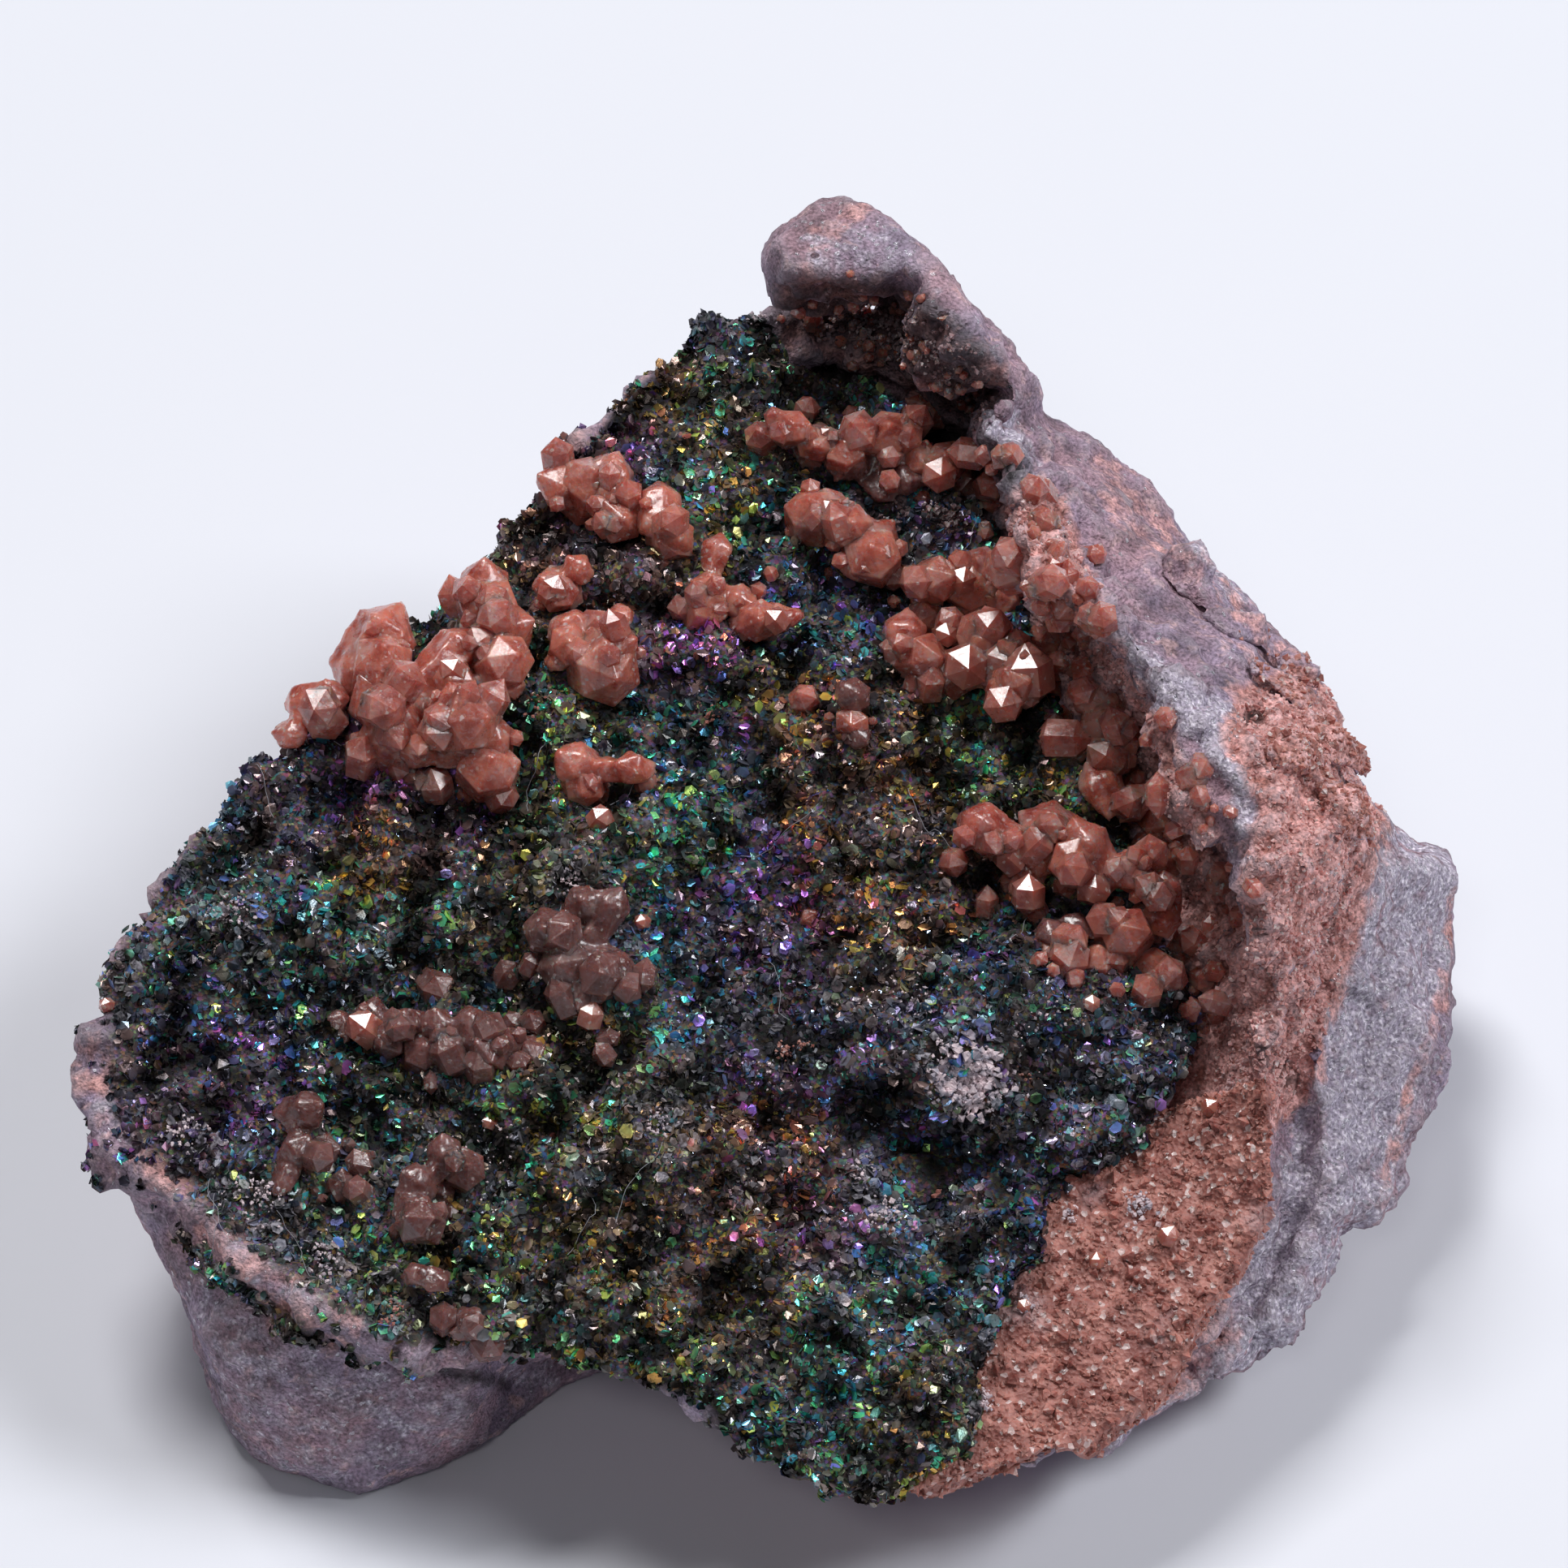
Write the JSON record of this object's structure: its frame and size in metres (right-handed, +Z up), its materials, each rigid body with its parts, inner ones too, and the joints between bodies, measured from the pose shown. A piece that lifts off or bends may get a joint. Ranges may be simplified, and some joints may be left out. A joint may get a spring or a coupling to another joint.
{
  "type": "mineral specimen",
  "caption": "Small mineral specimen: iridescent hematite crust with red quartz crystals in a shallow pocket on a mauve-brown rock.",
  "frame": {"origin": "centre of the specimen's bounding box at the level of its resting face", "axes": "+X towards the end of the rim with the red vein, along the longest extent; +Y towards the high rim's top; +Z up"},
  "size_m": [0.0446, 0.0424, 0.0214],
  "materials": {
    "matrix": "rough mauve-brown rock with fine dull metallic grains",
    "hematite_crust": "near-black scaly crust with an iridescent film in every colour",
    "red_quartz_band": "sugary salmon-red quartz",
    "red_quartz_vein": "brick-red quartz, blunt broken crystals",
    "quartz": "brick-red translucent quartz with frosted faces"
  },
  "bodies": {
    "root": {"hematite_crust": "hematite_crust", "matrix": "matrix", "quartz_centre": "quartz", "quartz_dusty": "quartz", "quartz_front_left": "quartz", "quartz_left": "quartz", "quartz_left_edge": "quartz", "quartz_lower_left": "quartz", "quartz_lower_middle": "quartz", "quartz_lower_pair": "quartz", "quartz_middle": "quartz", "quartz_pair": "quartz", "quartz_pale_pair": "quartz", "quartz_right": "quartz", "quartz_right_lower": "quartz", "quartz_right_upper": "quartz", "quartz_rim_corner": "quartz", "quartz_row": "quartz", "quartz_saddle": "quartz", "quartz_top": "quartz", "quartz_top_right": "quartz", "quartz_top_row": "quartz", "red_quartz_band": "red_quartz_band", "red_quartz_vein": "red_quartz_vein"}
  },
  "joints": []
}
